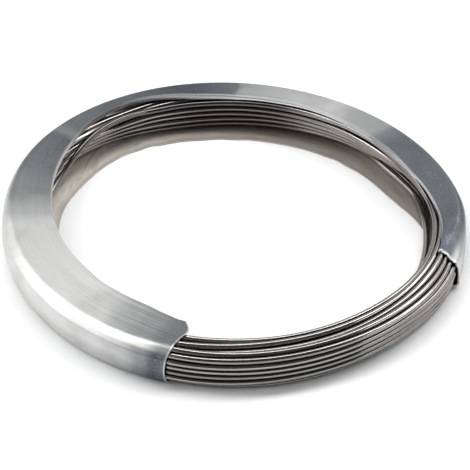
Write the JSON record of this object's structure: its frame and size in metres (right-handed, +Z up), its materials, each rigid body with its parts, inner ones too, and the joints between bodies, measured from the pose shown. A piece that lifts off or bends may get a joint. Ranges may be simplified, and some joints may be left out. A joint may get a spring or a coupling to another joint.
{
  "type": "coil of music wire",
  "caption": "Coil of bright spring-steel wire lying flat, held round most of its rim by a folded thin metal sleeve that is open towards the bore.",
  "frame": {"origin": "middle of the ring's plan, at the underside of the sleeve's bottom flange", "axes": "+Z up along the ring's axis, as the coil lies; the bare stretch of wire faces -Y and +X; the sleeve's wide end is near -Y and its narrow end is near +X"},
  "size_m": [0.165, 0.1625, 0.0148],
  "materials": {
    "wire": "bright drawn spring steel, dark between the turns",
    "sheet": "mill finish sheet, softly dented and rubbed along its length"
  },
  "bodies": {
    "root": {"wire_coil": "wire", "sleeve": "sheet"}
  },
  "joints": []
}
